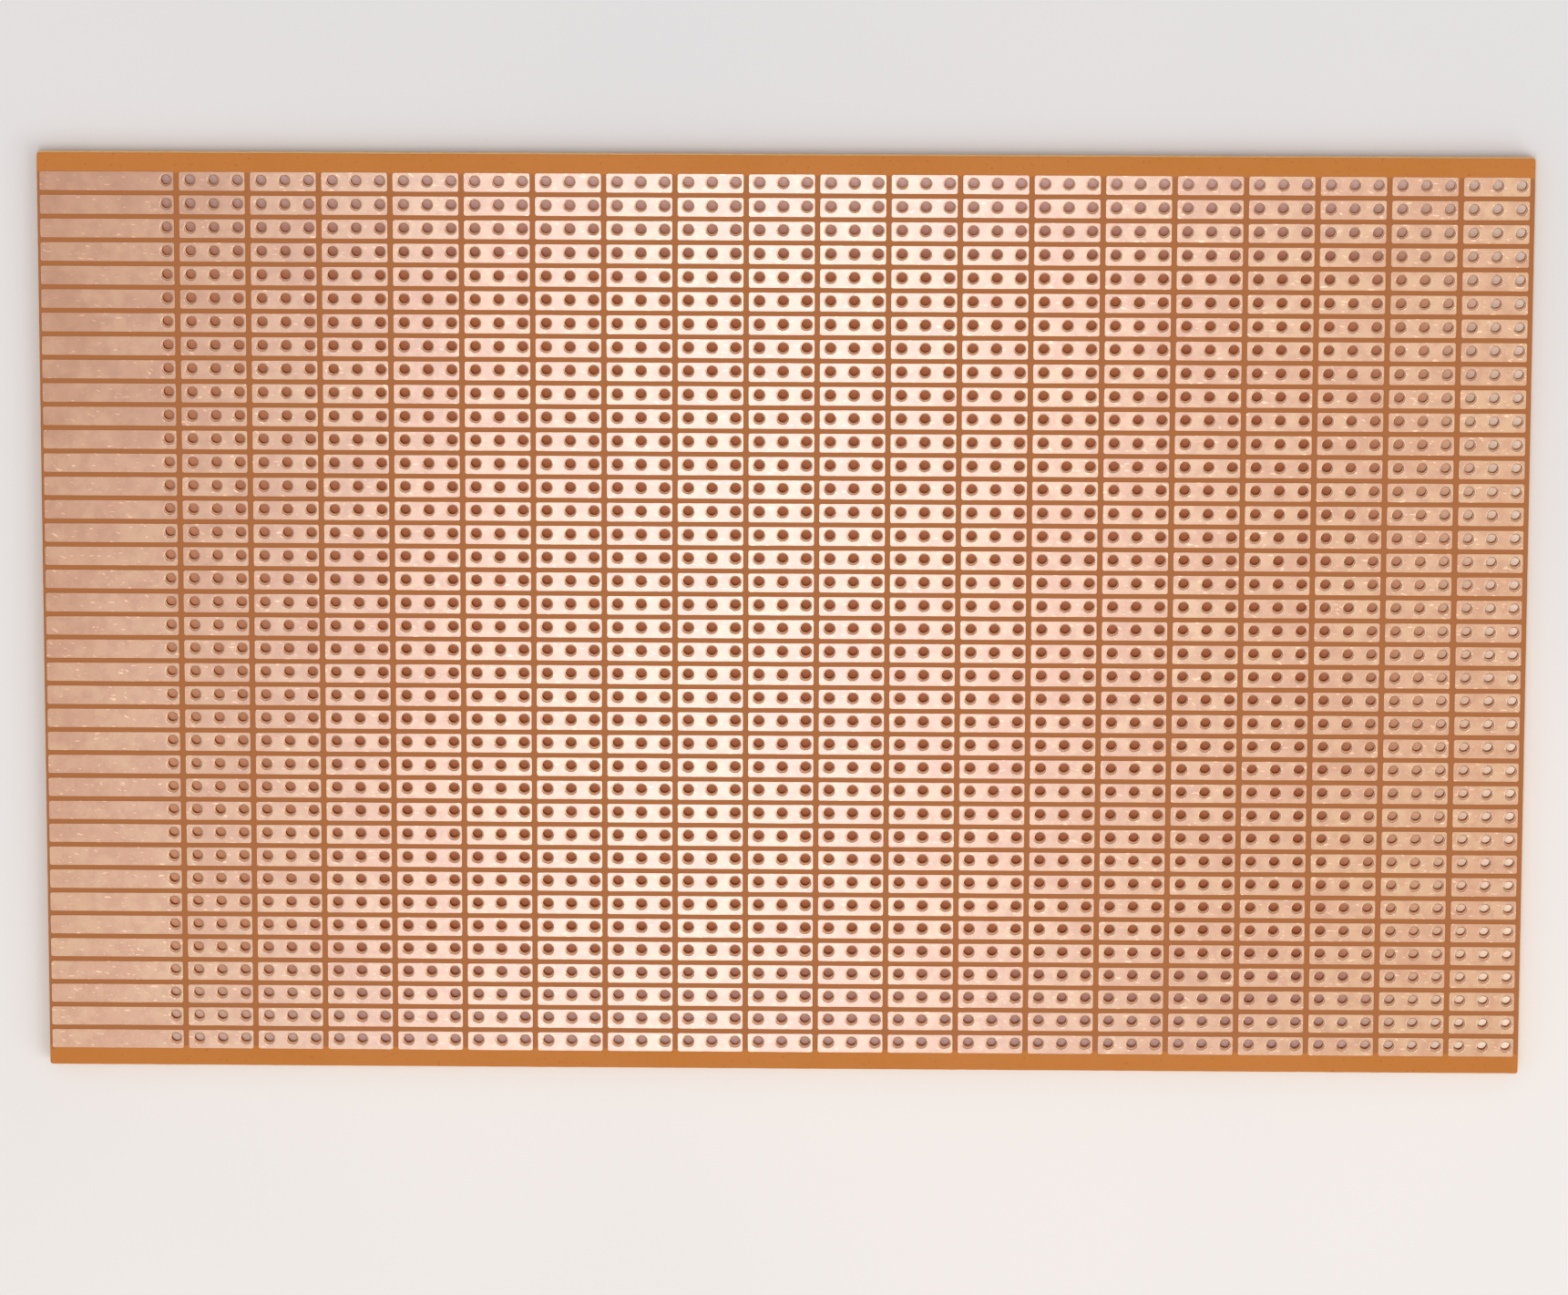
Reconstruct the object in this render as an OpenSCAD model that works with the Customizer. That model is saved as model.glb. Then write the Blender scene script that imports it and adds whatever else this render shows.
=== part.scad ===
// Prototype board: a drilled card of paper-phenolic laminate with etched copper islands on one face.
// It lies flat with its copper up. The origin is under its middle, and X runs along its length.

/* [Card] */
// Length of the card, along X
card_l = 160; // [60:1:220]
// Width of the card, along Y
card_w = 100; // [30:1:160]
// Thickness of the laminate
card_t = 1.6; // [0.8:0.1:3.2]
// Radius that the card's corners are worn or sawn to
corner_r = 0.4; // [0.1:0.1:2]

/* [Drilled grid] */
// Distance between neighbouring holes, along and across
pitch = 2.54; // [2:0.01:3.2]
// Diameter of the lead holes, through copper and laminate
hole_d = 1.1; // [0.6:0.05:1.3]
// Left end of the card to the centres of its first holes
grid_start = 13.8; // [4:0.1:30]
// Least laminate from a hole's centre to the right end
end_least = 1.4; // [1.2:0.1:10]
// Least laminate from a hole's centre to the long edges, which slide in card guides
guide_least = 2.9; // [2.2:0.1:10]

/* [Copper] */
// Thickness of the copper foil
foil_t = 0.035; // [0.018:0.001:0.105]
// Holes that one short island joins
holes_per_pad = 3; // [2:1:5]
// Bare laminate between two islands end to end
gap_end = 0.56; // [0.3:0.02:0.7]
// Bare laminate between two rows of islands
gap_side = 0.5; // [0.3:0.02:0.7]
// Radius of the islands' etched corners
pad_corner_r = 0.2; // [0.05:0.05:0.3]
// Bare laminate between the card's left end and the long strips
strip_bare = 0.3; // [0:0.1:2]
// How far the etched picture sits off the drilled grid, along X
etch_dx = -0.13; // [-0.2:0.01:0.2]
// How far the etched picture sits off the drilled grid, along Y
etch_dy = -0.09; // [-0.2:0.01:0.2]

/* [Hidden] */
// Each column of short islands is a node, and the card is kept to this many of them.
most_pad_columns = 56;
// A last pitch that is this share short still counts as whole, so that rounding drops no holes.
rounding = 0.001;
// The grid fills the card: one column for the long strips, then whole groups of short islands.
pitches_right = (card_l - grid_start - end_least) / pitch + rounding;
pad_columns = min(most_pad_columns, floor(pitches_right / holes_per_pad));
columns = 1 + holes_per_pad * pad_columns;
rows = 1 + floor((card_w - 2 * guide_least) / pitch + rounding);
first_x = -card_l / 2 + grid_start;
first_y = -(rows - 1) * pitch / 2;
// The sheet is built as side-by-side fields of this many columns. Every other field is turned by a
// hundred-millionth of a degree, a thousandth of a micrometre at most across the whole card, so
// that the sheet is one flat solid whose faces carry few enough holes each to stay quick.
field_columns = 8;
field_turn = 0.00000001;
fields = ceil(columns / field_columns);
// Facets per full turn in previews. Holes and corners are true circles in the solids.
hole_facets = 24;

function pad_name(k) = str("pad_column_", k < 10 ? "0" : "", k);

function column_x(c) = first_x + c * pitch;
function row_y(r) = first_y + r * pitch;
// Where one field of the sheet ends and the next begins, midway between two columns
function field_x(i) =
    i <= 0 ? -card_l / 2 : i >= fields ? card_l / 2 : column_x(i * field_columns - 0.5);

// A rectangle from [x0, y0] to [x1, y1] with round corners
module rounded_box(x0, y0, x1, y1, r) {
    translate([x0 + r, y0]) square([x1 - x0 - 2 * r, y1 - y0]);
    translate([x0, y0 + r]) square([x1 - x0, y1 - y0 - 2 * r]);
    for (x = [x0 + r, x1 - r], y = [y0 + r, y1 - r])
        translate([x, y]) circle(r = r, $fn = hole_facets);
}

// The lead holes of columns c0 to c1, in every row
module lead_holes(c0, c1) {
    for (c = [c0 : c1], r = [0 : rows - 1])
        translate([column_x(c), row_y(r)]) circle(d = hole_d, $fn = hole_facets);
}

// One field of the drilled sheet
module field(i) {
    rotate([0, (i % 2) * field_turn, 0])
        linear_extrude(card_t)
            difference() {
                intersection() {
                    rounded_box(-card_l / 2, -card_w / 2, card_l / 2, card_w / 2, corner_r);
                    translate([field_x(i), -card_w / 2])
                        square([field_x(i + 1) - field_x(i), card_w]);
                }
                lead_holes(i * field_columns, min(columns, (i + 1) * field_columns) - 1);
            }
}

module laminate() {
    color("#b9773f")
        union() {
            for (i = [0 : fields - 1]) field(i);
        }
}

// One island in each row, from x0 to x1, drilled at columns c0 to c1
module islands(x0, x1, c0, c1) {
    half_w = (pitch - gap_side) / 2;
    color("#d9a184")
        translate([0, 0, card_t])
            linear_extrude(foil_t)
                difference() {
                    for (r = [0 : rows - 1])
                        rounded_box(x0, row_y(r) + etch_dy - half_w, x1,
                                    row_y(r) + etch_dy + half_w, pad_corner_r);
                    lead_holes(c0, c1);
                }
}

// Right end of an island whose last hole is in column c, and left end of one that starts there
function right_end(c) = column_x(c) + (pitch - gap_end) / 2 + etch_dx;
function left_end(c) = column_x(c) - (pitch - gap_end) / 2 + etch_dx;

// The long strips at the card's left end, with one hole each
module edge_strips() {
    islands(-card_l / 2 + strip_bare, right_end(0), 0, 0);
}

// One column of short islands, counted from the left
module pad_column(k) {
    c0 = 1 + (k - 1) * holes_per_pad;
    c1 = c0 + holes_per_pad - 1;
    islands(left_end(c0), right_end(c1), c0, c1);
}

laminate();
edge_strips();
for (k = [1 : pad_columns])
    pad_column(k);
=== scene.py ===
import math

import bpy
from mathutils import Matrix, Vector


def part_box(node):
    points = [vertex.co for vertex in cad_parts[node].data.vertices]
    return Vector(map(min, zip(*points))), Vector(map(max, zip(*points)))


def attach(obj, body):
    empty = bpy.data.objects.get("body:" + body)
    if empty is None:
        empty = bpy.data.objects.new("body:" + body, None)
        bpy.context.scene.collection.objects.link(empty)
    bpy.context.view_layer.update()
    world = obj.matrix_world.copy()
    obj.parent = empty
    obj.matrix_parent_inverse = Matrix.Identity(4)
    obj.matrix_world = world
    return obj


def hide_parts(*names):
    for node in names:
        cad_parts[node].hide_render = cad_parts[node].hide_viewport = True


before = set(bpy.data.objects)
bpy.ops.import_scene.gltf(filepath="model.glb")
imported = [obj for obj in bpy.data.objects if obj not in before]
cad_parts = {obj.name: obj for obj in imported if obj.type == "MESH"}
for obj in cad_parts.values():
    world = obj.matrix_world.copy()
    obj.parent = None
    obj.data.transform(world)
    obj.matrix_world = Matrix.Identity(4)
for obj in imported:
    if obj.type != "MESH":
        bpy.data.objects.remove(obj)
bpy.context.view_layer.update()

MM = 0.001

# The drilled grid, as the sheet is drilled
PITCH = 2.54 * MM
HOLE_RADIUS = 0.55 * MM
COLUMNS = 58
ROWS = 38
HOLES_PER_ISLAND = 3
ISLAND_COLUMNS = 19

# The etched picture: bare laminate between islands, and how far the picture sits off the drilled grid
END_GAP = 0.56 * MM
SIDE_GAP = 0.5 * MM
ETCH_SHIFT = Vector((-0.13 * MM, -0.09 * MM, 0))
ISLAND_HEIGHT = PITCH - SIDE_GAP

# The card as sawn. Waves are noise scales, in waves a metre.
CARD_CORNER = 0.22 * MM
CARD_CORNER_POINTS = 3
SAW_STEP = 0.3 * MM
SAW_WANDER = 0.05 * MM
SAW_WAVES = 700.0
SAW_CHAMFER = 0.14 * MM
CHAMFER_STEPS = 2
SAWN_BEND = math.radians(60)

# The copper as etched and drilled
ISLAND_CORNER = 0.14 * MM
ISLAND_CORNER_POINTS = 1
ETCH_SLOPE = 0.015 * MM
ETCH_WANDER = 0.06 * MM
ETCH_WAVES = 900.0
LIP_WIDTH = 0.17 * MM
LIP_DEPTH = 0.016 * MM

# Sides of a lead hole in the mesh, how near two points are before they are one, and how far apart in
# the noise two seeds lie
HOLE_SIDES = 16
WELD = 0.003 * MM
SEED_STEP = 0.1

card_low, card_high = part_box("laminate")
strip_low, strip_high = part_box("edge_strips")
first_island_low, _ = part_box("pad_column_01")
FIRST_HOLE = Vector((
    first_island_low.x + (PITCH - END_GAP) / 2 - ETCH_SHIFT.x - PITCH,
    strip_low.y + ISLAND_HEIGHT / 2 - ETCH_SHIFT.y,
    0,
))
FOIL_THICKNESS = strip_high.z - strip_low.z

COPPER_BRIGHT = (0.60, 0.365, 0.185, 1)
COPPER_PALE = (0.72, 0.48, 0.32, 1)
COPPER_TANNED = (0.545, 0.27, 0.14, 1)
# Painted shade: the darker copper towards the far side of the left end
COPPER_CORNER_SHADE = (0.42, 0.195, 0.09, 1)
COPPER_PINK = (0.58, 0.32, 0.185, 1)
LAMINATE_BODY = (0.50, 0.162, 0.017, 1)
LAMINATE_PALE = (0.54, 0.185, 0.03, 1)
LAMINATE_DARK = (0.34, 0.10, 0.012, 1)
LAMINATE_SAWN = (0.82, 0.52, 0.22, 1)
# Painted shade in the gaps between the copper islands
LAMINATE_GAP_SHADE = (0.375, 0.125, 0.03, 1)
# A hole's wall: drilled paper's own paler colour, brightened further with painted light
HOLE_WALL_PALE_AND_LIT = (0.96, 0.63, 0.40, 1)
PAPER_COOL = (0.72, 0.70, 0.68, 1)
PAPER_WARM = (0.84, 0.79, 0.73, 1)
# Painted shade and painted light on the floor under the card
PAPER_SHADED = (0.95, 0.42, 0.19, 1)
PAPER_LIT = (0.95, 0.90, 0.88, 1)
# Painted light: glow colours on the floor under the card, which only the camera sees
GLOW_MIDDLE = (0.05, 0.01, 0.004, 1)
GLOW_FAR_SIDE = (0.20, 0.09, 0.07, 1)
GLOW_NEAR_SIDE = (0.14, 0.045, 0.03, 1)
GLOW_LEFT_FAR = (0.11, 0.05, 0.035, 1)
GLOW_LEFT_NEAR = (0.30, 0.18, 0.11, 1)
GLOW_RIGHT_FAR = (0.26, 0.19, 0.13, 1)
GLOW_RIGHT_NEAR = (0.62, 0.47, 0.32, 1)

# What each noise is: its detail, the values between which the mark sets in, and its stretch
CLOUD = (2.0, 0.4, 0.65)
PATCH = (2.0, 0.42, 0.64)
BLOTCH = (2.0, 0.4, 0.68)
GRAIN = (1.0, 0.35, 0.65)
SCRATCH_ALONG = (1.0, 0.68, 0.74, (0.4, 1.5, 1))
SCRATCH_ASLANT = (1.0, 0.70, 0.76, (0.4, 1.6, 1))
SCRATCH_SLANT = math.radians(28)
SHADE = (3.0, 0.35, 0.65)
FIBRE_ALONG = (3.0, 0.4, 0.7, (0.3, 2.0, 1))
FIBRE_ACROSS = (3.0, 0.4, 0.7, (1.6, 0.35, 1))
FLECK = (1.0, 0.66, 0.76)
PAPER_CLOUD = (2.0, 0.3, 0.7)
PAPER_CLOUD_WAVES = 9.0

# How much of which colour each mark lays over the copper, and over the laminate
COPPER_MARKS = (
    ("Cloud", 0.5, COPPER_PINK),
    ("Patch", 0.6, COPPER_TANNED),
    ("Blotch", 0.5, COPPER_TANNED),
    ("Grain", 0.12, COPPER_PALE),
    ("Scratch", 0.6, COPPER_PALE),
)
LAMINATE_MARKS = (
    ("Shade", 0.5, LAMINATE_PALE),
    ("Fibre", 0.3, LAMINATE_PALE),
    ("Fleck", 0.5, LAMINATE_DARK),
)

# The copper: how much one island is tanner than another, and the copper beside a hole
ISLAND_TAN = 0.15
LIP_TAN = 0.1
# Painted shade: how far from the left end the copper is darkened towards the far side, and how much
# outside and inside the patches
CORNER_SHADE_REACH = 48 * MM
CORNER_SHADE_LEAST = 0.8
CORNER_SHADE_MOST = 1.1
# Its roughness outside and inside the blotches, and how much smoother scratches and lips are
COPPER_ROUGH = 0.57
BLOTCH_ROUGH = 0.61
SCRATCH_SMOOTHER = 0.2
LIP_SMOOTHER = 0.22
# The thin clear lacquer on it
LACQUER_ROUGH = 0.2
LACQUER_IOR = 1.8
# How much the grain counts beside the blotches and scratches in its relief
GRAIN_RELIEF = 0.5
COPPER_RELIEF = {"Strength": 0.25, "Distance": 0.004 * MM}

# The laminate: how fibrous a cut looks, and how rough a face and a cut are
CUT_FIBRE = 0.3
FACE_ROUGH = 0.6
CUT_ROUGH = 0.8
LAMINATE_IOR = 1.5
LAMINATE_SPECULAR = 0.3
FIBRE_RELIEF = {"Strength": 0.3, "Distance": 0.01 * MM}
# Painted shade in the gaps between the islands: how much darker the laminate is there, and over what
# width that ends past the islands
GAP_SHADE_AMOUNT = 0.9
GAP_SHADE_FADE = 0.2 * MM
# How far below its top face the painted gap shade starts, and where it is full
GAP_SHADE_BOTTOM = 0.2 * MM
GAP_SHADE_FULL = 0.1 * MM
# The pale ring around a hole, and the narrow ring in which the sawn colour gives way to a hole's wall
HALO_RADIUS = HOLE_RADIUS * 1.35
HALO_PALE = 0.4
WALL_RADIUS = HOLE_RADIUS * 1.05
WALL_END = HOLE_RADIUS * 1.1

# The floor: how far it reaches, and how far below the card it lies
FLOOR_SIZE = 6
FLOOR_DROP = 0.4 * MM
FLOOR_ROUGH = 0.9
# The near side, at the bottom of the picture, is the warmer one, and so are clouds in the paper.
NEARNESS_WARMTH = 0.7
CLOUD_WARMTH = 0.3
# The edge of what counts as under the card, as distances in from the card's outline
UNDER_INNER = 0.8 * MM
UNDER_OUTER = 0.5 * MM
# How far in the painted light reaches under the card, from the ends and the long sides, and where it
# is full; further in, the floor has painted shade
END_LIGHT = 11 * MM
SIDE_LIGHT = 14 * MM
FULL_LIGHT = 1 * MM
# Where the painted glow under the card starts and is full, as distances in from its sides and ends
SIDE_GLOW = (11 * MM, 3 * MM)
LEFT_GLOW = (36 * MM, 14 * MM)
RIGHT_GLOW = (24 * MM, 4 * MM)
RIGHT_GLOW_RISE = 1.4

# How bright the room is, where 1 is white, and its slightly cool colour
ROOM_LIGHT = 0.68
ROOM_COLOUR = (0.97, 0.97, 1.0, 1)

# The camera, found by fitting the drilled grid in the photograph
CAMERA_LENS = 171.64
CAMERA_SENSOR = 36
CAMERA_REACH = 20
CAMERA_PLACE = Vector((15.11, 138.59, 795.44)) * MM
CAMERA_AIM = Vector((0.04, -3.34, 1.64)) * MM
CAMERA_ROLL = math.radians(0.132)

FLOAT = "NodeSocketFloat"
WHOLE = "NodeSocketInt"
VECTOR = "NodeSocketVector"
MATERIAL = "NodeSocketMaterial"
GEOMETRY = "NodeSocketGeometry"


def start_tree(name, kind, inputs, outputs):
    """A node tree with its named inputs and outputs, and the two nodes that stand for them."""
    tree = bpy.data.node_groups.new(name, kind)
    for label, socket_type, value in inputs:
        socket = tree.interface.new_socket(label, in_out="INPUT", socket_type=socket_type)
        if value is not None:
            socket.default_value = value
    for label, socket_type in outputs:
        tree.interface.new_socket(label, in_out="OUTPUT", socket_type=socket_type)
    return tree, tree.nodes.new("NodeGroupInput").outputs, tree.nodes.new("NodeGroupOutput").inputs


def feed(tree, socket, value):
    """Gives an input a plain value, another node's output, or several outputs."""
    if isinstance(value, bpy.types.NodeSocket):
        tree.links.new(value, socket)
    elif isinstance(value, list):
        for part in value:
            tree.links.new(part, socket)
    else:
        socket.default_value = value


def lay(tree, kind, inputs=None, **settings):
    """Lays one node, with its settings and what feeds it."""
    node = tree.nodes.new(kind)
    for name, value in settings.items():
        setattr(node, name, value)
    for place, value in (inputs or {}).items():
        feed(tree, node.inputs[place], value)
    return node


def figure(tree, operation, *values):
    """A sum on numbers."""
    return lay(tree, "ShaderNodeMath", dict(enumerate(values)), operation=operation).outputs[0]


def reckon(tree, operation, *values):
    """A sum on vectors. The length of one comes out as a number."""
    node = lay(tree, "ShaderNodeVectorMath", dict(enumerate(values)), operation=operation)
    return node.outputs["Value" if operation == "LENGTH" else "Vector"]


def compare(tree, operation, a, b):
    """Whether one number is above or below another."""
    node = lay(tree, "FunctionNodeCompare", {"A": a, "B": b}, data_type="FLOAT", operation=operation)
    return node.outputs["Result"]


def either(tree, operation, a, b):
    """Two conditions joined by AND or OR."""
    return lay(tree, "FunctionNodeBooleanMath", {0: a, 1: b}, operation=operation).outputs[0]


def combine(tree, x, y, z):
    return lay(tree, "ShaderNodeCombineXYZ", {"X": x, "Y": y, "Z": z}).outputs[0]


def separate(tree, vector):
    return lay(tree, "ShaderNodeSeparateXYZ", {0: vector}).outputs


def span(tree, value, low, high, out_low, out_high):
    """A value carried from one range to another, and held at its ends."""
    reach = {"Value": value, "From Min": low, "From Max": high, "To Min": out_low, "To Max": out_high}
    return lay(tree, "ShaderNodeMapRange", reach).outputs[0]


def mesh_position(tree):
    return lay(tree, "GeometryNodeInputPosition").outputs[0]


def mesh_attribute(tree, name):
    return lay(tree, "GeometryNodeInputNamedAttribute", {"Name": name}, data_type="FLOAT").outputs[0]


def mark_mesh(tree, shape, name, value, domain, where=None):
    """Stores a named number on the mesh, everywhere or only where it is asked for."""
    inputs = {"Geometry": shape, "Name": name, "Value": value}
    if where is not None:
        inputs["Selection"] = where
    return lay(
        tree, "GeometryNodeStoreNamedAttribute", inputs, data_type="FLOAT", domain=domain
    ).outputs[0]


def rectangle(tree, width, height):
    sides = {"Width": width, "Height": height}
    return lay(tree, "GeometryNodeCurvePrimitiveQuadrilateral", sides).outputs[0]


def rounded_outline(tree, width, height, corner, corner_points):
    """A rectangle with round corners, as a curve."""
    rounding = {"Curve": rectangle(tree, width, height), "Count": corner_points, "Radius": corner}
    return lay(tree, "GeometryNodeFilletCurve", rounding, mode="POLY").outputs[0]


def hole_circle(tree, radius):
    round_hole = {"Resolution": HOLE_SIDES, "Radius": radius}
    return lay(tree, "GeometryNodeCurvePrimitiveCircle", round_hole, mode="RADIUS").outputs[0]


def points_in_line(tree, count, start, step):
    line = {"Count": count, "Start Location": start, "Offset": step}
    return lay(tree, "GeometryNodeMeshLine", line, mode="OFFSET", count_mode="TOTAL").outputs[0]


def fill(tree, curves):
    """A flat face inside the outer curve and outside the inner ones, as triangles."""
    curve = lay(tree, "GeometryNodeJoinGeometry", {0: curves}).outputs[0]
    return lay(tree, "GeometryNodeFillCurve", {"Curve": curve}, mode="TRIANGLES").outputs[0]


def weld(tree, meshes):
    mesh = lay(tree, "GeometryNodeJoinGeometry", {0: meshes}).outputs[0]
    return lay(tree, "GeometryNodeMergeByDistance", {"Geometry": mesh, "Distance": WELD}).outputs[0]


def thicken(tree, face, thickness):
    """The face drawn up by a thickness, as top and sides without the underside."""
    return lay(tree, "GeometryNodeExtrudeMesh", {
        "Mesh": face,
        "Offset": combine(tree, 0.0, 0.0, thickness),
        "Offset Scale": 1.0,
        "Individual": False,
    }, mode="FACES")


def flip(tree, mesh):
    return lay(tree, "GeometryNodeFlipFaces", {"Mesh": mesh}).outputs[0]


def smooth_where(tree, shape, where):
    """Smooth shading on the chosen faces, and flat shading on the rest."""
    smoothing = {"Geometry": shape, "Shade Smooth": where}
    return lay(tree, "GeometryNodeSetShadeSmooth", smoothing, domain="FACE").outputs[0]


def instances(tree, shape, points):
    return lay(tree, "GeometryNodeInstanceOnPoints", {"Points": points, "Instance": shape}).outputs[0]


def make_real(tree, shape):
    return lay(tree, "GeometryNodeRealizeInstances", {"Geometry": shape}).outputs[0]


def spread(tree, shape, points):
    """The shape at every point, as real mesh or curve."""
    return make_real(tree, instances(tree, shape, points))


def move(tree, shape, offset):
    return lay(tree, "GeometryNodeTransform", {"Geometry": shape, "Translation": offset}).outputs[0]


def push_points(tree, shape, offset, where=None):
    """Moves the mesh's or curve's points, everywhere or only where it is asked for."""
    inputs = {"Geometry": shape, "Offset": offset}
    if where is not None:
        inputs["Selection"] = where
    return lay(tree, "GeometryNodeSetPosition", inputs).outputs[0]


def finish_tree(tree, shape, size, result):
    """Real mesh in the tree's material, as its result."""
    given = {"Geometry": make_real(tree, shape), "Material": size["Material"]}
    tree.links.new(lay(tree, "GeometryNodeSetMaterial", given).outputs[0], result["Geometry"])


def wander(tree, position, reach, waves, seed):
    """A small random push along X and Y that is the same at every height."""
    flat = reckon(tree, "MULTIPLY", position, (1, 1, 0))
    shifted = reckon(tree, "ADD", flat, combine(tree, 0.0, 0.0, seed))
    noise = lay(tree, "ShaderNodeTexNoise", {"Vector": shifted, "Scale": waves, "Detail": 1.0})
    push = reckon(tree, "SUBTRACT", noise.outputs["Color"], (0.5, 0.5, 0.5))
    flat_push = reckon(tree, "MULTIPLY", push, (1, 1, 0))
    return reckon(tree, "MULTIPLY", flat_push, combine(tree, reach, reach, 0.0))


def distance_in_grid(tree, position, first, pitch):
    """How far a point is from the nearest place of an endless grid through the first hole."""
    from_first = reckon(tree, "SUBTRACT", position, first)
    in_pitches = reckon(tree, "DIVIDE", from_first, combine(tree, pitch, pitch, 1.0))
    halfway = reckon(tree, "ADD", in_pitches, (0.5, 0.5, 0.0))
    inside = reckon(tree, "SUBTRACT", reckon(tree, "FRACTION", halfway), (0.5, 0.5, 0.0))
    return reckon(tree, "LENGTH", reckon(tree, "MULTIPLY", inside, combine(tree, pitch, pitch, 0.0)))


def drilled_card_tree():
    """The sheet: a drilled tile at every place of the grid, a margin around them, and its thickness."""
    tree, size, result = start_tree("drilled_card", "GeometryNodeTree", [
        ("Length", FLOAT, None),
        ("Width", FLOAT, None),
        ("Thickness", FLOAT, None),
        ("Corner Radius", FLOAT, CARD_CORNER),
        ("Pitch", FLOAT, PITCH),
        ("Hole Radius", FLOAT, HOLE_RADIUS),
        ("Columns", WHOLE, COLUMNS),
        ("Rows", WHOLE, ROWS),
        ("Grid Middle", VECTOR, None),
        ("Saw Step", FLOAT, SAW_STEP),
        ("Saw Wander", FLOAT, SAW_WANDER),
        ("Seed", FLOAT, 3.0),
        ("Material", MATERIAL, None),
    ], [("Geometry", GEOMETRY)])
    field_length = figure(tree, "MULTIPLY", size["Columns"], size["Pitch"])
    field_width = figure(tree, "MULTIPLY", size["Rows"], size["Pitch"])
    tile_edge = rectangle(tree, size["Pitch"], size["Pitch"])
    tile = fill(tree, [tile_edge, hole_circle(tree, size["Hole Radius"])])
    places = lay(tree, "GeometryNodeMeshGrid", {
        "Size X": figure(tree, "SUBTRACT", field_length, size["Pitch"]),
        "Size Y": figure(tree, "SUBTRACT", field_width, size["Pitch"]),
        "Vertices X": size["Columns"],
        "Vertices Y": size["Rows"],
    }).outputs[0]
    field = move(tree, spread(tree, tile, places), size["Grid Middle"])

    # The margin's inner edge has a point at every tile's corner, so that the two can be welded.
    tiles_around = figure(tree, "MULTIPLY", figure(tree, "ADD", size["Columns"], size["Rows"]), 2.0)
    inner = lay(tree, "GeometryNodeResampleCurve", {
        "Curve": rectangle(tree, field_length, field_width),
        "Count": tiles_around,
    }, mode="COUNT").outputs[0]
    inner = move(tree, inner, size["Grid Middle"])

    # The saw wanders either way, so the outline is first drawn in by as much as it can wander out.
    outer = rounded_outline(
        tree,
        figure(tree, "SUBTRACT", size["Length"], size["Saw Wander"]),
        figure(tree, "SUBTRACT", size["Width"], size["Saw Wander"]),
        size["Corner Radius"],
        CARD_CORNER_POINTS,
    )
    outer = lay(tree, "GeometryNodeResampleCurve", {
        "Curve": outer,
        "Length": size["Saw Step"],
    }, mode="LENGTH").outputs[0]
    saw = wander(tree, mesh_position(tree), size["Saw Wander"], SAW_WAVES, size["Seed"])
    margin = fill(tree, [push_points(tree, outer, saw), inner])

    sheet = weld(tree, [field, margin])
    thick = thicken(tree, sheet, size["Thickness"]).outputs
    cut = mark_mesh(tree, thick["Mesh"], "cut_face", 1.0, "FACE", thick["Side"])
    card = weld(tree, [cut, flip(tree, sheet)])

    # Hole walls are round, and all the rest is flat. Only the sawn outline gets a chamfer.
    from_middle = reckon(tree, "SUBTRACT", mesh_position(tree), size["Grid Middle"])
    away = separate(tree, reckon(tree, "ABSOLUTE", from_middle))
    past_field = either(
        tree,
        "OR",
        compare(tree, "GREATER_THAN", away["X"], figure(tree, "MULTIPLY_ADD", field_length, 0.5, WELD)),
        compare(tree, "GREATER_THAN", away["Y"], figure(tree, "MULTIPLY_ADD", field_width, 0.5, WELD)),
    )
    bend = lay(tree, "GeometryNodeInputMeshEdgeAngle").outputs["Unsigned Angle"]
    sawn_edge = either(tree, "AND", past_field, compare(tree, "GREATER_THAN", bend, SAWN_BEND))
    card = mark_mesh(tree, card, "bevel_weight_edge", 1.0, "EDGE", sawn_edge)
    wall = compare(tree, "GREATER_THAN", mesh_attribute(tree, "cut_face"), 0.5)
    finish_tree(tree, smooth_where(tree, card, wall), size, result)
    return tree


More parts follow.
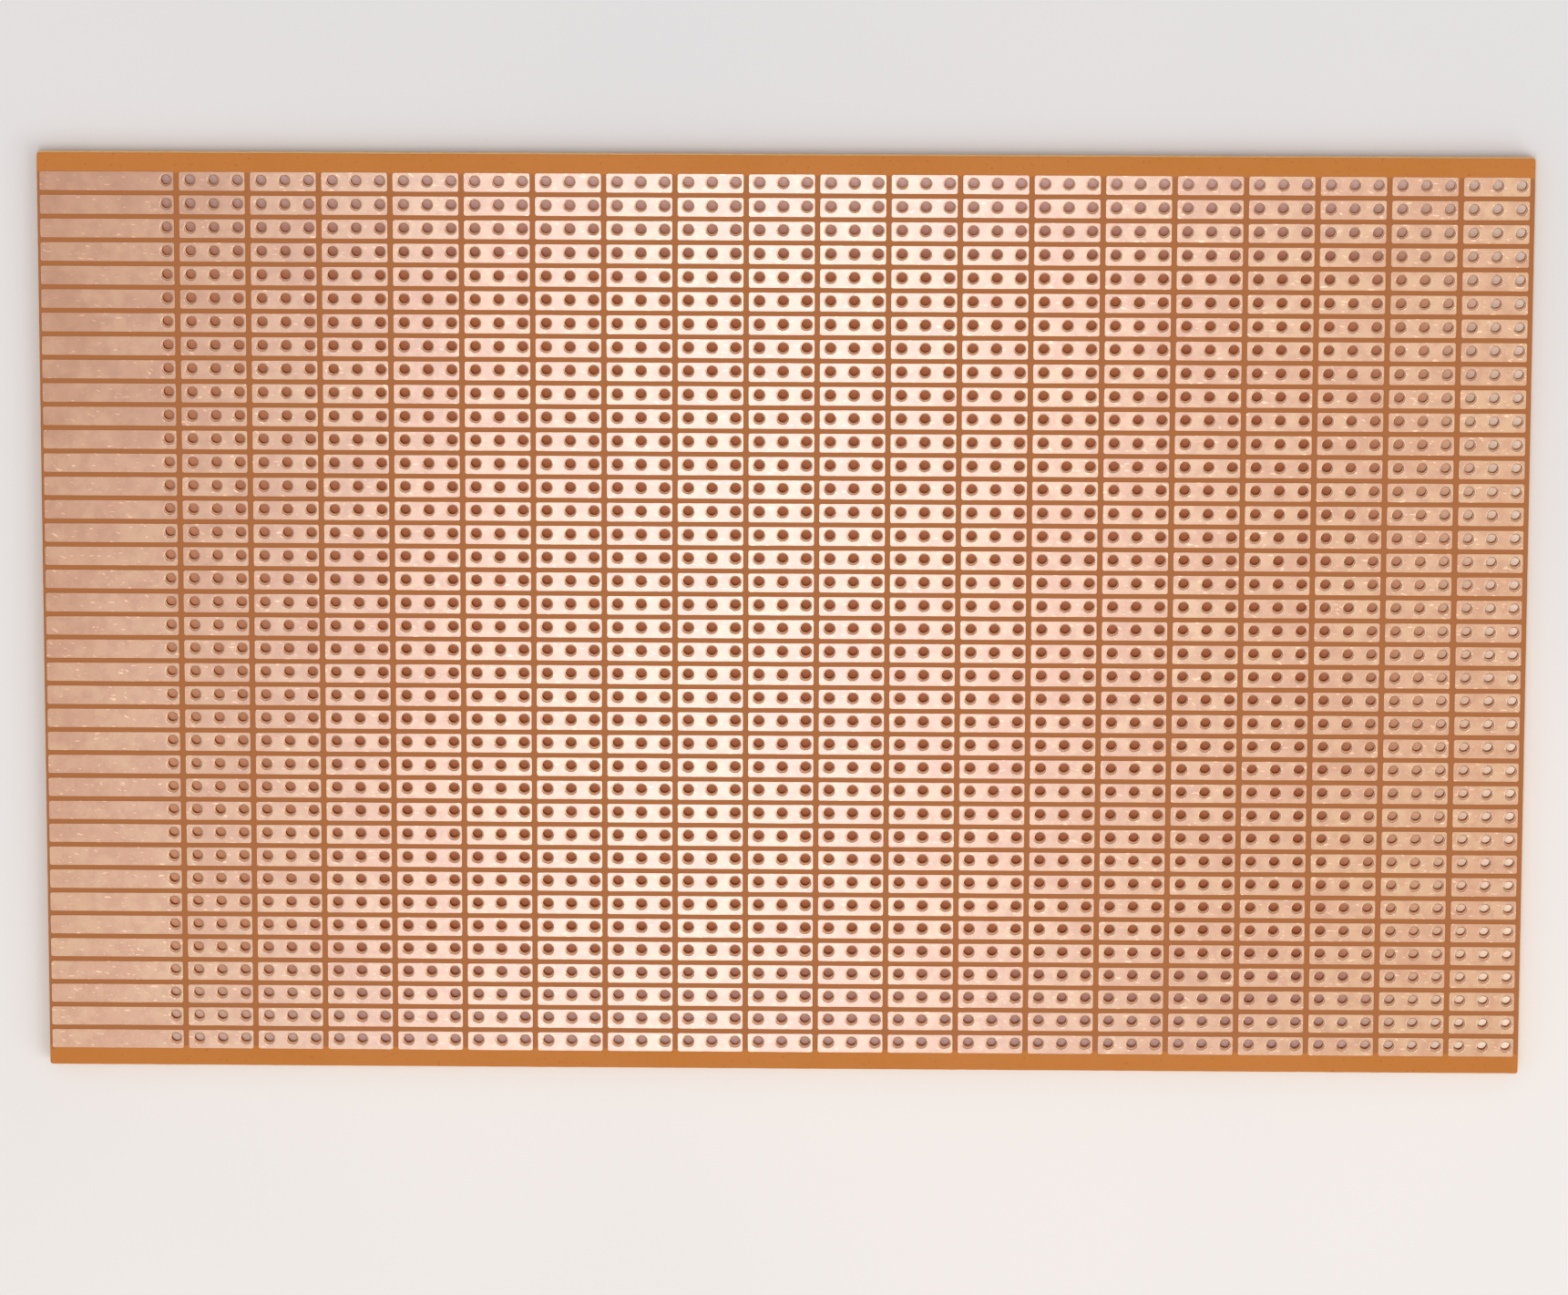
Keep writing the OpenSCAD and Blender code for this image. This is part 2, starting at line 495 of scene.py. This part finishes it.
def etched_islands_tree():
    """A column of copper islands: outlines with lead holes, the holes' dished lips, and the foil."""
    tree, size, result = start_tree("etched_islands", "GeometryNodeTree", [
        ("Left End", FLOAT, None),
        ("Right End", FLOAT, None),
        ("First Hole X", FLOAT, None),
        ("Holes", WHOLE, HOLES_PER_ISLAND),
        ("Rows", WHOLE, ROWS),
        ("First Row Y", FLOAT, None),
        ("Pitch", FLOAT, PITCH),
        ("Island Height", FLOAT, ISLAND_HEIGHT),
        ("Etch Shift Y", FLOAT, ETCH_SHIFT.y),
        ("Corner Radius", FLOAT, ISLAND_CORNER),
        ("Etch Slope", FLOAT, ETCH_SLOPE),
        ("Etch Wander", FLOAT, ETCH_WANDER),
        ("Hole Radius", FLOAT, HOLE_RADIUS),
        ("Lip Width", FLOAT, LIP_WIDTH),
        ("Lip Depth", FLOAT, LIP_DEPTH),
        ("Foil Bottom", FLOAT, None),
        ("Foil Thickness", FLOAT, FOIL_THICKNESS),
        ("Seed", WHOLE, None),
        ("Material", MATERIAL, None),
    ], [("Geometry", GEOMETRY)])
    length = figure(tree, "SUBTRACT", size["Right End"], size["Left End"])
    middle = figure(tree, "MULTIPLY", figure(tree, "ADD", size["Left End"], size["Right End"]), 0.5)
    centre = combine(tree, middle, size["Etch Shift Y"], 0.0)
    outline = rounded_outline(
        tree, length, size["Island Height"], size["Corner Radius"], ISLAND_CORNER_POINTS
    )
    outline = lay(tree, "GeometryNodeSubdivideCurve", {"Curve": outline, "Cuts": 1}).outputs[0]
    outline = move(tree, outline, centre)

    first_hole = combine(tree, size["First Hole X"], 0.0, 0.0)
    hole_step = combine(tree, size["Pitch"], 0.0, 0.0)
    hole_places = points_in_line(tree, size["Holes"], first_hole, hole_step)
    lip_radius = figure(tree, "ADD", size["Hole Radius"], size["Lip Width"])
    drilled = hole_circle(tree, size["Hole Radius"])
    lipped = hole_circle(tree, lip_radius)
    flat = fill(tree, [outline, spread(tree, lipped, hole_places)])
    lip = mark_mesh(tree, fill(tree, [lipped, drilled]), "lip", 1.0, "FACE")
    face = weld(tree, [flat, spread(tree, lip, hole_places)])
    thick = thicken(tree, face, size["Foil Thickness"]).outputs
    is_lip = compare(tree, "GREATER_THAN", mesh_attribute(tree, "lip"), 0.5)
    foil = smooth_where(tree, thick["Mesh"], either(tree, "AND", is_lip, thick["Top"]))
    glued = flip(tree, fill(tree, [outline, spread(tree, drilled, hole_places)]))
    island = weld(tree, [foil, smooth_where(tree, glued, False)])

    # The drill presses the foil down at each hole's edge.
    position = mesh_position(tree)
    from_hole = distance_in_grid(tree, position, first_hole, size["Pitch"])
    half_lip = figure(tree, "MULTIPLY_ADD", size["Lip Width"], 0.5, size["Hole Radius"])
    half_foil = figure(tree, "MULTIPLY", size["Foil Thickness"], 0.5)
    on_top = compare(tree, "GREATER_THAN", separate(tree, position)["Z"], half_foil)
    dished = either(tree, "AND", compare(tree, "LESS_THAN", from_hole, half_lip), on_top)
    press = combine(tree, 0.0, 0.0, figure(tree, "MULTIPLY", size["Lip Depth"], -1.0))
    island = push_points(tree, island, press, dished)

    # The acid eats the foil's top edge back further than its foot.
    past_lip = figure(tree, "ADD", lip_radius, WELD)
    top_edge = either(tree, "AND", compare(tree, "GREATER_THAN", from_hole, past_lip), on_top)
    outwards = reckon(tree, "SIGN", reckon(tree, "SUBTRACT", position, centre))
    back = figure(tree, "MULTIPLY", size["Etch Slope"], -1.0)
    eaten = reckon(tree, "MULTIPLY", outwards, combine(tree, back, back, 0.0))
    island = push_points(tree, island, eaten, top_edge)

    first_row = combine(tree, 0.0, size["First Row Y"], size["Foil Bottom"])
    row_step = combine(tree, 0.0, size["Pitch"], 0.0)
    placed = instances(tree, island, points_in_line(tree, size["Rows"], first_row, row_step))
    tone = lay(tree, "FunctionNodeRandomValue", {"Seed": size["Seed"]}, data_type="FLOAT")
    toned = mark_mesh(tree, placed, "island_tone", tone.outputs["Value"], "INSTANCE")
    islands = make_real(tree, toned)

    # The etched edge wanders a little, and the lips stay where they are drilled.
    place = mesh_position(tree)
    first = combine(tree, size["First Hole X"], size["First Row Y"], 0.0)
    from_hole = distance_in_grid(tree, place, first, size["Pitch"])
    seed = figure(tree, "MULTIPLY", size["Seed"], SEED_STEP)
    etched = wander(tree, place, size["Etch Wander"], ETCH_WAVES, seed)
    on_outline = compare(tree, "GREATER_THAN", from_hole, past_lip)
    finish_tree(tree, push_points(tree, islands, etched, on_outline), size, result)
    return tree


def make_piece(name, tree, sizes, chamfer=0.0):
    """A plain mesh piece from a geometry tree, with its sizes set by their sockets."""
    maker = bpy.data.objects.new(name + "_maker", bpy.data.meshes.new(name + "_maker"))
    bpy.context.scene.collection.objects.link(maker)
    modifier = maker.modifiers.new("shape", "NODES")
    modifier.node_group = tree
    for item in tree.interface.items_tree:
        if item.in_out == "INPUT" and item.name in sizes:
            modifier[item.identifier] = sizes[item.name]
    if chamfer:
        edge = maker.modifiers.new("chamfer", "BEVEL")
        edge.limit_method = "WEIGHT"
        edge.width = chamfer
        edge.segments = CHAMFER_STEPS
    ready = maker.evaluated_get(bpy.context.evaluated_depsgraph_get())
    mesh = bpy.data.meshes.new_from_object(ready)
    mesh.name = name
    bpy.data.objects.remove(maker)
    piece = bpy.data.objects.new(name, mesh)
    bpy.context.scene.collection.objects.link(piece)
    return piece


def lead_holes_group():
    """How far a point is from the middle of the nearest lead hole."""
    tree, given, result = start_tree("lead_holes", "ShaderNodeTree", [
        ("Position", VECTOR, None),
        ("First Hole", VECTOR, FIRST_HOLE),
        ("Last Column", FLOAT, COLUMNS - 1),
        ("Last Row", FLOAT, ROWS - 1),
        ("Pitch", FLOAT, PITCH),
    ], [("Distance", FLOAT)])
    along = separate(tree, reckon(tree, "SUBTRACT", given["Position"], given["First Hole"]))
    offsets = []
    for axis, last in (("X", "Last Column"), ("Y", "Last Row")):
        nearest = figure(tree, "ROUND", figure(tree, "DIVIDE", along[axis], given["Pitch"]))
        nearest = figure(tree, "MINIMUM", figure(tree, "MAXIMUM", nearest, 0.0), given[last])
        hole_at = figure(tree, "MULTIPLY", nearest, given["Pitch"])
        offsets.append(figure(tree, "SUBTRACT", along[axis], hole_at))
    distance = reckon(tree, "LENGTH", combine(tree, offsets[0], offsets[1], 0.0))
    tree.links.new(distance, result["Distance"])
    return tree


def soft_patches(tree, position, waves, detail, low, high, stretch=(1, 1, 1)):
    """A mask of soft patches from 0 to 1, where a noise passes from low to high."""
    stretched = reckon(tree, "MULTIPLY", position, stretch)
    noise = lay(tree, "ShaderNodeTexNoise", {"Vector": stretched, "Scale": waves, "Detail": detail})
    band = {"Value": noise.outputs[0], "From Min": low, "From Max": high}
    return lay(tree, "ShaderNodeMapRange", band, interpolation_type="SMOOTHSTEP").outputs[0]


def marks_group(name, waves, outputs):
    """A shader group that reads a place, with a noise scale for each mark that it makes."""
    inputs = [("Position", VECTOR, None)]
    inputs += [(label + " Waves", FLOAT, value) for label, value in waves.items()]
    return start_tree(name, "ShaderNodeTree", inputs, [(label, FLOAT) for label in outputs])


def copper_skin_group():
    """Marks on bare copper: broad clouds, patches, small blotches, short scratches and fine relief."""
    waves = {"Cloud": 50.0, "Patch": 230.0, "Blotch": 800.0, "Scratch": 2500.0, "Grain": 3800.0}
    tree, given, result = marks_group("copper_skin", waves, [*waves, "Relief"])
    place = given["Position"]
    aslant = {"Vector": place, "Angle": SCRATCH_SLANT}
    aslant = lay(tree, "ShaderNodeVectorRotate", aslant, rotation_type="Z_AXIS").outputs[0]
    marks = {
        "Cloud": soft_patches(tree, place, given["Cloud Waves"], *CLOUD),
        "Patch": soft_patches(tree, place, given["Patch Waves"], *PATCH),
        "Blotch": soft_patches(tree, place, given["Blotch Waves"], *BLOTCH),
        "Grain": soft_patches(tree, place, given["Grain Waves"], *GRAIN),
        "Scratch": figure(
            tree,
            "MAXIMUM",
            soft_patches(tree, place, given["Scratch Waves"], *SCRATCH_ALONG),
            soft_patches(tree, aslant, given["Scratch Waves"], *SCRATCH_ASLANT),
        ),
    }
    unscratched = figure(tree, "SUBTRACT", marks["Blotch"], marks["Scratch"])
    marks["Relief"] = figure(tree, "MULTIPLY_ADD", marks["Grain"], GRAIN_RELIEF, unscratched)
    for label, mark in marks.items():
        tree.links.new(mark, result[label])
    return tree


def paper_fibre_group():
    """Paper in resin: broad shade, fibres lying along and across, and dark flecks."""
    waves = {"Shade": 60.0, "Fibre": 800.0, "Fleck": 2600.0}
    tree, given, result = marks_group("paper_fibre", waves, waves)
    place = given["Position"]
    marks = {
        "Shade": soft_patches(tree, place, given["Shade Waves"], *SHADE),
        "Fibre": figure(
            tree,
            "MAXIMUM",
            soft_patches(tree, place, given["Fibre Waves"], *FIBRE_ALONG),
            soft_patches(tree, place, given["Fibre Waves"], *FIBRE_ACROSS),
        ),
        "Fleck": soft_patches(tree, place, given["Fleck Waves"], *FLECK),
    }
    for label, mark in marks.items():
        tree.links.new(mark, result[label])
    return tree


def start_material(name):
    """A material with a Principled shader, and the place of each point on the object."""
    material = bpy.data.materials.new(name)
    material.use_nodes = True
    tree = material.node_tree
    shader = tree.nodes["Principled BSDF"]
    position = tree.nodes.new("ShaderNodeTexCoord").outputs["Object"]
    return material, tree, shader.inputs, position


def group(tree, shared, position):
    """A shared group in this material, at each point of the object."""
    node = tree.nodes.new("ShaderNodeGroup")
    node.node_tree = shared
    feed(tree, node.inputs["Position"], position)
    return node.outputs


def blend(tree, amount, under, over):
    """One colour over another."""
    return lay(tree, "ShaderNodeMix", {0: amount, 6: under, 7: over}, data_type="RGBA").outputs[2]


def share(tree, mask, amount):
    """A mask taken down by an amount or by another mask."""
    return figure(tree, "MULTIPLY", mask, amount)


def add_marks(tree, colour, found, marks):
    """The colour with each mark's own colour laid over it in turn."""
    for label, amount, over in marks:
        colour = blend(tree, share(tree, found[label], amount), colour, over)
    return colour


def attribute(tree, name):
    return lay(tree, "ShaderNodeAttribute", attribute_name=name).outputs["Fac"]


def relief(tree, height, bump):
    return lay(tree, "ShaderNodeBump", {"Height": height} | bump).outputs[0]


def bare_copper(lead_holes, copper_skin):
    """Copper foil as etched: satin under a thin lacquer, softly mottled, and darkened at one corner with
    painted shade.
    """
    material, tree, shader, position = start_material("bare_copper")
    skin = group(tree, copper_skin, position)
    from_hole = group(tree, lead_holes, position)["Distance"]
    lip_radius = HOLE_RADIUS + LIP_WIDTH
    colour = add_marks(tree, COPPER_BRIGHT, skin, COPPER_MARKS)
    colour = blend(tree, share(tree, attribute(tree, "island_tone"), ISLAND_TAN), colour, COPPER_TANNED)
    place = separate(tree, position)
    # Painted shade: the copper darkens towards the far side of the left end, mottled by the patches.
    left_end = span(tree, place["X"], card_low.x, card_low.x + CORNER_SHADE_REACH, 1.0, 0.0)
    far_side = span(tree, place["Y"], card_low.y, card_high.y, 0.0, 1.0)
    mottle = span(tree, skin["Patch"], 0.0, 1.0, CORNER_SHADE_LEAST, CORNER_SHADE_MOST)
    corner_shade = share(tree, far_side, share(tree, left_end, mottle))
    colour = blend(tree, corner_shade, colour, COPPER_CORNER_SHADE)
    near_hole = span(tree, from_hole, lip_radius, HOLE_RADIUS, 0.0, LIP_TAN)
    feed(tree, shader["Base Color"], blend(tree, near_hole, colour, COPPER_TANNED))
    feed(tree, shader["Metallic"], 1.0)
    rough = span(tree, skin["Blotch"], 0.0, 1.0, COPPER_ROUGH, BLOTCH_ROUGH)
    rough = figure(tree, "SUBTRACT", rough, share(tree, skin["Scratch"], SCRATCH_SMOOTHER))
    smoother_lip = span(tree, from_hole, lip_radius, HOLE_RADIUS, 0.0, LIP_SMOOTHER)
    feed(tree, shader["Roughness"], figure(tree, "SUBTRACT", rough, smoother_lip))
    feed(tree, shader["Coat Weight"], 1.0)
    feed(tree, shader["Coat Roughness"], LACQUER_ROUGH)
    feed(tree, shader["Coat IOR"], LACQUER_IOR)
    normal = relief(tree, skin["Relief"], COPPER_RELIEF)
    feed(tree, shader["Normal"], normal)
    feed(tree, shader["Coat Normal"], normal)
    return material


def paper_laminate(lead_holes, paper_fibre):
    """Orange-brown paper laminate, darker between the islands with painted shade, and paler where it is
    sawn or drilled, with hole walls brightened further by painted light.
    """
    material, tree, shader, position = start_material("paper_laminate")
    fibre = group(tree, paper_fibre, position)
    from_hole = group(tree, lead_holes, position)["Distance"]
    cut = attribute(tree, "cut_face")
    face = add_marks(tree, LAMINATE_BODY, fibre, LAMINATE_MARKS)
    place = separate(tree, position)
    from_middle = figure(tree, "ABSOLUTE", place["Y"])
    # Painted shade: the top face is darker in the gaps between the copper islands.
    islands_end = strip_high.y - GAP_SHADE_FADE
    gap_shade = span(tree, from_middle, islands_end, islands_end + GAP_SHADE_FADE, GAP_SHADE_AMOUNT, 0.0)
    on_top = span(tree, place["Z"], card_high.z - GAP_SHADE_BOTTOM, card_high.z - GAP_SHADE_FULL, 0.0, 1.0)
    face = blend(tree, share(tree, gap_shade, on_top), face, LAMINATE_GAP_SHADE)
    halo = span(tree, from_hole, HALO_RADIUS, HOLE_RADIUS, 0.0, HALO_PALE)
    face = blend(tree, halo, face, LAMINATE_SAWN)
    # Hole walls take the drilled colour, brightened with painted light.
    in_hole = span(tree, from_hole, WALL_RADIUS, WALL_END, 1.0, 0.0)
    cut_colour = blend(tree, in_hole, LAMINATE_SAWN, HOLE_WALL_PALE_AND_LIT)
    cut_colour = blend(tree, share(tree, fibre["Fibre"], CUT_FIBRE), cut_colour, LAMINATE_BODY)
    feed(tree, shader["Base Color"], blend(tree, cut, face, cut_colour))
    feed(tree, shader["Roughness"], span(tree, cut, 0.0, 1.0, FACE_ROUGH, CUT_ROUGH))
    feed(tree, shader["IOR"], LAMINATE_IOR)
    feed(tree, shader["Specular IOR Level"], LAMINATE_SPECULAR)
    feed(tree, shader["Normal"], relief(tree, fibre["Fibre"], FIBRE_RELIEF))
    return material


def table_paper():
    """The pale floor: a matt sheet with painted shade under the card and painted light towards its rim,
    and a faint painted glow there for the camera.
    """
    material, tree, shader, position = start_material("table_paper")
    side = separate(tree, position)
    nearer = span(tree, side["Y"], card_high.y, card_low.y, 0.0, 1.0)
    cloud = soft_patches(tree, position, PAPER_CLOUD_WAVES, *PAPER_CLOUD)
    warmth = figure(tree, "MULTIPLY_ADD", cloud, CLOUD_WARMTH, share(tree, nearer, NEARNESS_WARMTH))
    colour = blend(tree, warmth, PAPER_COOL, PAPER_WARM)
    out = separate(tree, reckon(tree, "ABSOLUTE", position))
    end = card_high.x
    edge = card_high.y
    under = share(
        tree,
        span(tree, out["X"], end - UNDER_INNER, end - UNDER_OUTER, 1.0, 0.0),
        span(tree, out["Y"], edge - UNDER_INNER, edge - UNDER_OUTER, 1.0, 0.0),
    )
    # Painted light and shade: under the card the floor is pale near the rim and dark orange further in.
    colour = blend(tree, under, colour, PAPER_LIT)
    painted_shade = share(
        tree,
        span(tree, out["X"], end - END_LIGHT, end - FULL_LIGHT, 1.0, 0.0),
        span(tree, out["Y"], edge - SIDE_LIGHT, edge - FULL_LIGHT, 1.0, 0.0),
    )
    feed(tree, shader["Base Color"], blend(tree, painted_shade, colour, PAPER_SHADED))
    feed(tree, shader["Roughness"], FLOOR_ROUGH)

    # Painted light: a glow that only the camera sees, for light coming in under the card's sides and
    # ends, most at the near side of the right end.
    to_side = span(tree, out["Y"], edge - SIDE_GLOW[0], edge - SIDE_GLOW[1], 0.0, 1.0)
    to_right = span(tree, side["X"], end - RIGHT_GLOW[0], end - RIGHT_GLOW[1], 0.0, 1.0)
    to_right = figure(tree, "POWER", to_right, RIGHT_GLOW_RISE)
    to_left = span(tree, side["X"], card_low.x + LEFT_GLOW[0], card_low.x + LEFT_GLOW[1], 0.0, 1.0)
    painted_glow = GLOW_MIDDLE
    for reach, far_glow, near_glow in (
        (to_side, GLOW_FAR_SIDE, GLOW_NEAR_SIDE),
        (to_left, GLOW_LEFT_FAR, GLOW_LEFT_NEAR),
        (to_right, GLOW_RIGHT_FAR, GLOW_RIGHT_NEAR),
    ):
        painted_glow = blend(tree, reach, painted_glow, blend(tree, nearer, far_glow, near_glow))
    feed(tree, shader["Emission Color"], painted_glow)
    seen = lay(tree, "ShaderNodeLightPath").outputs["Is Camera Ray"]
    feed(tree, shader["Emission Strength"], share(tree, under, seen))
    return material


def make_card(material):
    grid = Vector(((COLUMNS - 1) * PITCH, (ROWS - 1) * PITCH, 0))
    card = make_piece("card", drilled_card_tree(), {
        "Length": card_high.x - card_low.x,
        "Width": card_high.y - card_low.y,
        "Thickness": card_high.z - card_low.z,
        "Grid Middle": FIRST_HOLE + grid / 2,
        "Material": material,
    }, SAW_CHAMFER)
    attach(card, "root")
    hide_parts("laminate")


def make_copper(material):
    """The long strips at the left end, and then the short islands, column by column."""
    tree = etched_islands_tree()
    half_end = (PITCH - END_GAP) / 2
    shared = {"First Row Y": FIRST_HOLE.y, "Foil Bottom": card_high.z, "Material": material}
    strips = make_piece("long_strips", tree, shared | {
        "Left End": strip_low.x,
        "Right End": FIRST_HOLE.x + half_end + ETCH_SHIFT.x,
        "First Hole X": FIRST_HOLE.x,
        "Holes": 1,
        "Seed": 1,
    })
    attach(strips, "root")
    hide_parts("edge_strips")
    for number in range(1, ISLAND_COLUMNS + 1):
        first = FIRST_HOLE.x + (1 + (number - 1) * HOLES_PER_ISLAND) * PITCH
        islands = make_piece(f"islands_{number:02d}", tree, shared | {
            "Left End": first - half_end + ETCH_SHIFT.x,
            "Right End": first + (HOLES_PER_ISLAND - 1) * PITCH + half_end + ETCH_SHIFT.x,
            "First Hole X": first,
            "Seed": number + 1,
        })
        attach(islands, "root")
        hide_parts(f"pad_column_{number:02d}")


def aim(place, target, roll=0.0):
    """Where something stands and which way it looks, with the far side of the card up in its view."""
    forward = (target - place).normalized()
    right = forward.cross(Vector((0, 1, 0))).normalized()
    up = right.cross(forward)
    axes = Matrix((right, up, -forward)).transposed()
    turned = axes @ Matrix.Rotation(roll, 3, "Z")
    return Matrix.Translation(place) @ turned.to_4x4()


def make_camera():
    data = bpy.data.cameras.new("camera")
    data.sensor_fit = "HORIZONTAL"
    data.sensor_width = CAMERA_SENSOR
    data.lens = CAMERA_LENS
    data.clip_end = CAMERA_REACH
    camera = bpy.data.objects.new("camera", data)
    camera.matrix_world = aim(CAMERA_PLACE, CAMERA_AIM, CAMERA_ROLL)
    bpy.context.scene.collection.objects.link(camera)
    bpy.context.scene.camera = camera


def make_lamp(name, place, width, length, watts, colour=(1, 1, 1), roll=0.0):
    """A soft box that faces the middle of the card."""
    data = bpy.data.lights.new(name, "AREA")
    data.shape = "RECTANGLE"
    data.size = width
    data.size_y = length
    data.energy = watts
    data.color = colour
    lamp = bpy.data.objects.new(name, data)
    lamp.matrix_world = aim(Vector(place), Vector((0, 0, 0)), roll)
    bpy.context.scene.collection.objects.link(lamp)


def make_studio():
    """A pale floor and an even room. A long strip lamp overhead puts the glare down the card's middle,
    and a broad lamp brightens its right end."""
    bpy.ops.mesh.primitive_plane_add(size=FLOOR_SIZE, location=(0, 0, -FLOOR_DROP))
    floor = bpy.context.object
    floor.name = "floor"
    floor.data.materials.append(table_paper())
    make_lamp(
        "strip",
        place=(-0.016, -0.05, 1.0),
        width=0.12,
        length=0.6,
        watts=2.25,
        colour=(1.0, 0.985, 1.08),
        roll=math.radians(-8),
    )
    make_lamp("right_box", place=(0.85, -0.6, 0.85), width=1.1, length=1.1, watts=6.2)
    world = bpy.data.worlds.new("room")
    world.use_nodes = True
    background = world.node_tree.nodes["Background"]
    background.inputs["Color"].default_value = ROOM_COLOUR
    background.inputs["Strength"].default_value = ROOM_LIGHT
    bpy.context.scene.world = world


lead_holes = lead_holes_group()
make_card(paper_laminate(lead_holes, paper_fibre_group()))
make_copper(bare_copper(lead_holes, copper_skin_group()))
make_studio()
make_camera()
bpy.context.scene.view_settings.view_transform = "Standard"
